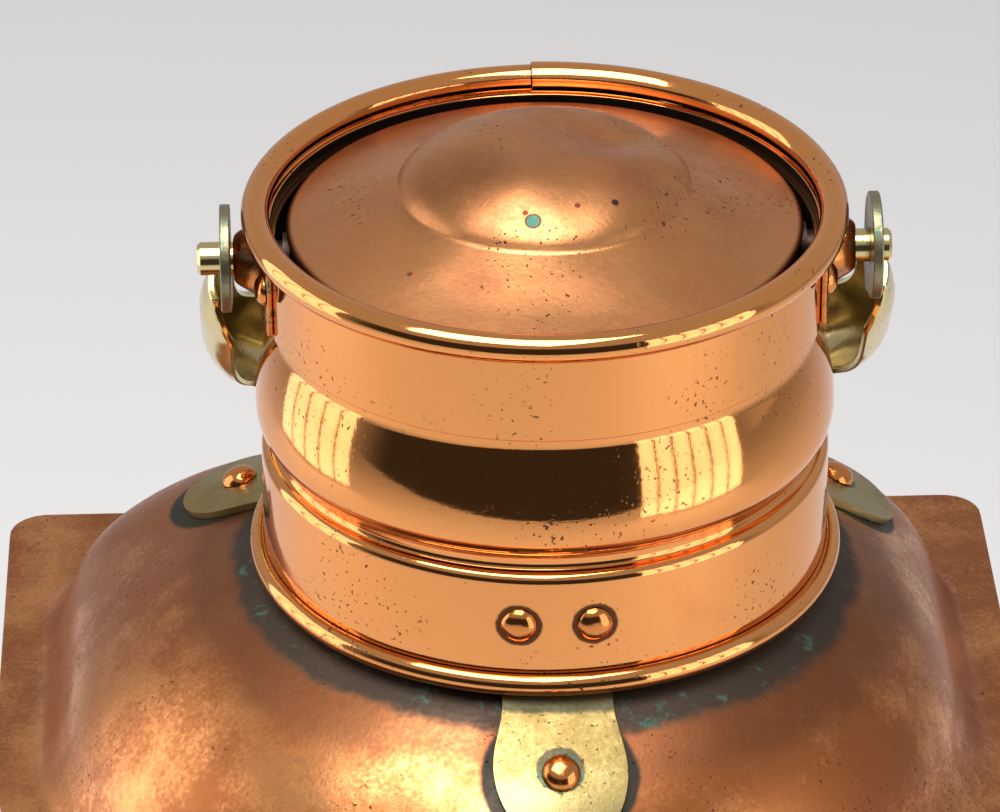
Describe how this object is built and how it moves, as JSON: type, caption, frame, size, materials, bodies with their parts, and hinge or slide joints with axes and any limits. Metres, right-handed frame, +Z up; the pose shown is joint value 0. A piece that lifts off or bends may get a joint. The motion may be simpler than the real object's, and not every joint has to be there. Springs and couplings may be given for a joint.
{
  "type": "ship lantern",
  "caption": "Copper and brass ship oil lantern with a D-shaped lamp house, ribbed lens, hinged domed roof, round chimney with smoke cap and a swinging carrying bail.",
  "frame": {"origin": "middle of the lens curve, on the face the lantern stands on", "axes": "+Z up, -Y out through the lens, +X to the right seen from the front"},
  "size_m": [0.24, 0.2349, 0.3862],
  "materials": {
    "copper": "polished copper sheet with brown patina",
    "copper_rivets": "worn copper rivet heads",
    "brass": "aged brass",
    "burner_brass": "dull brass",
    "tinplate": "tinned and sooty",
    "glass": "clear pressed glass",
    "cotton": "woven cotton"
  },
  "bodies": {
    "house": {"base_floor": "copper", "base_pan": "copper", "base_bead": "brass", "lens_seat": "brass", "lens": "glass", "lens_post_left": "brass", "lens_post_right": "brass", "upper_gallery": "brass", "upper_band": "copper", "back_shell": "copper", "guard_lower": "brass", "guard_upper": "brass", "reflector": "tinplate", "mount_socket": "brass", "socket_rivets": "copper_rivets", "hinge_leaf_lower": "brass", "hinge_pin": "brass", "staple": "brass", "font_clips": "burner_brass", "font_tank": "tinplate", "burner_collar": "burner_brass", "burner_cone": "burner_brass", "wick_tube": "burner_brass", "filler_neck": "burner_brass"},
    "wick": {"wick": "cotton"},
    "winder": {"winder_shaft": "burner_brass", "winder_knob": "burner_brass"},
    "filler_cap": {"filler_cap": "burner_brass"},
    "roof": {"roof_dome": "copper", "roof_skirt": "copper", "hinge_leaf_upper": "brass", "chimney_foot_bead": "copper", "chimney_tube": "copper", "rim_band": "copper", "rim_wire": "copper", "smoke_cap": "copper", "cap_struts": "brass", "inner_flue": "tinplate", "flue_struts": "tinplate", "bracket_front": "brass", "bracket_left": "brass", "bracket_right": "brass", "bracket_rivets": "copper_rivets", "band_rivets": "copper_rivets", "trunnion_left": "copper", "trunnion_right": "copper", "trunnion_rivets": "copper_rivets", "pivot_pin_left": "brass", "pivot_pin_right": "brass", "hook_lug": "brass"},
    "bail": {"bail": "brass"},
    "hook": {"roof_hook": "brass"}
  },
  "joints": [
    {"name": "roof_hinge", "type": "hinge", "parent": "house", "child": "roof", "pos_m": [0, 0.1115, 0.225], "axis": [-1, 0, 0], "range_deg": [0, 100]},
    {"name": "bail_swing", "type": "hinge", "parent": "roof", "child": "bail", "pos_m": [0.0093, 0, 0.359], "axis": [1, 0, 0], "range_deg": [0, 262]},
    {"name": "hook_swing", "type": "hinge", "parent": "roof", "child": "hook", "pos_m": [-0.04598, -0.10763, 0.222], "axis": [-0.5, -0.866, 0], "range_deg": [-33, 0]},
    {"name": "winder_turn", "type": "hinge", "parent": "house", "child": "winder", "pos_m": [0, -0.00475, 0.0832], "axis": [1, 0, 0], "range_deg": [-60, 120]},
    {"name": "wick_lift", "type": "slide", "parent": "house", "child": "wick", "axis": [0, 0, 1], "range_m": [-0.0038, 0.0075]},
    {"name": "filler_cap_turn", "type": "hinge", "parent": "house", "child": "filler_cap", "pos_m": [-0.036, 0, 0.07], "axis": [0, 0, 1], "continuous": true}
  ],
  "couplings": [
    {"joint": "wick_lift", "follows": "winder_turn", "m_per_rad": 0.0035}
  ]
}
